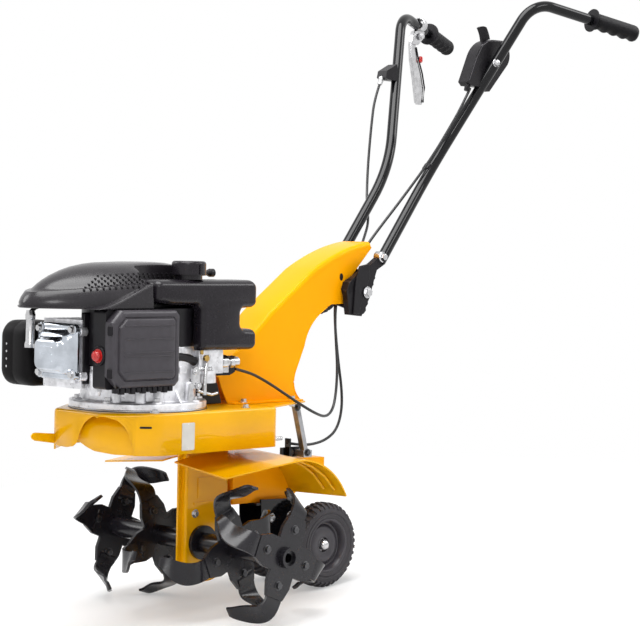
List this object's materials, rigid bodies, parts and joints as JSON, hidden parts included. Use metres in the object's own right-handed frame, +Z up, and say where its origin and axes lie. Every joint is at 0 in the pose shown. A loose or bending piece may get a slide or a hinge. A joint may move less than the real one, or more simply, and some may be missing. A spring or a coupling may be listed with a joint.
{
  "type": "rotary tiller",
  "caption": "Walk-behind rotary tiller: vertical-shaft engine on a belt pan, chain case with curved tines, rear transport wheels and a tilting handlebar.",
  "frame": {"origin": "bottom centre of the bounding box, on the floor between wheels and tines", "axes": "+Z up, +Y to the machine rear (handlebar), +X to the machine left"},
  "size_m": [0.5024, 1.3178, 1.0286],
  "materials": {
    "black_paint": "satin",
    "black_plastic": "satin",
    "cable_jacket": "satin",
    "cast_alloy": "satin",
    "gloss_cover": "gloss",
    "grip_rubber": "matte",
    "primer_red": "gloss",
    "shaft_steel": "satin",
    "tine_steel": "gloss",
    "tyre_rubber": "matte",
    "yellow_paint": "gloss",
    "zinc": "satin"
  },
  "bodies": {
    "chassis": {"blower_shroud": "gloss_cover", "cable_bracket": "zinc", "carburettor": "zinc", "chain_case": "yellow_paint", "clutch_arm": "zinc", "clutch_bracket": "black_paint", "clutch_cable_lower": "cable_jacket", "column": "yellow_paint", "crankcase": "cast_alloy", "cylinder": "cast_alloy", "deck_pan": "yellow_paint", "filter_base": "black_plastic", "filter_cover": "gloss_cover", "fuel_cap": "black_plastic", "fuel_tank": "black_plastic", "governor_lever": "zinc", "guard_left": "yellow_paint", "guard_right": "yellow_paint", "muffler": "black_paint", "oil_filler": "cast_alloy", "primer_bulb": "primer_red", "rear_channel": "yellow_paint", "rocker_cover": "cast_alloy", "shaft_bearings": "black_paint", "spark_plug": "zinc", "starter_grip": "black_plastic", "stay": "zinc", "throttle_cable_lower": "cable_jacket", "tilt_plates": "black_paint", "wheel_axle": "zinc", "wheel_carrier": "black_paint"},
    "tine_rotor": {"tine_shaft": "shaft_steel", "tines_inner_left": "tine_steel", "tines_inner_right": "tine_steel", "tines_outer_left": "tine_steel", "tines_outer_right": "tine_steel"},
    "wheel_left": {"tyre_left": "tyre_rubber", "rim_left": "black_plastic"},
    "wheel_right": {"tyre_right": "tyre_rubber", "rim_right": "black_plastic"},
    "handlebar": {"handle_tube_left": "black_paint", "handle_tube_right": "black_paint", "grip_left": "grip_rubber", "grip_right": "grip_rubber", "handle_cheek_left": "black_paint", "handle_cheek_right": "black_paint", "tilt_pin": "zinc", "throttle_housing": "black_plastic", "throttle_lever": "black_plastic", "clutch_perch": "black_plastic", "clutch_lever": "zinc", "cable_stop": "black_plastic", "throttle_cable_upper": "cable_jacket", "clutch_cable_upper": "cable_jacket"}
  },
  "joints": [
    {"name": "tine_spin", "type": "hinge", "parent": "chassis", "child": "tine_rotor", "pos_m": [0, -0.31944, 0.11549], "axis": [1, 0, 0], "continuous": true},
    {"name": "wheel_left_spin", "type": "hinge", "parent": "chassis", "child": "wheel_left", "pos_m": [0, -0.08094, 0.075], "axis": [1, 0, 0], "continuous": true},
    {"name": "wheel_right_spin", "type": "hinge", "parent": "chassis", "child": "wheel_right", "pos_m": [0, -0.08094, 0.075], "axis": [1, 0, 0], "continuous": true},
    {"name": "handlebar_tilt", "type": "hinge", "parent": "chassis", "child": "handlebar", "pos_m": [0, 0.06075, 0.50893], "axis": [1, 0, 0], "range_deg": [-24, 0]}
  ]
}
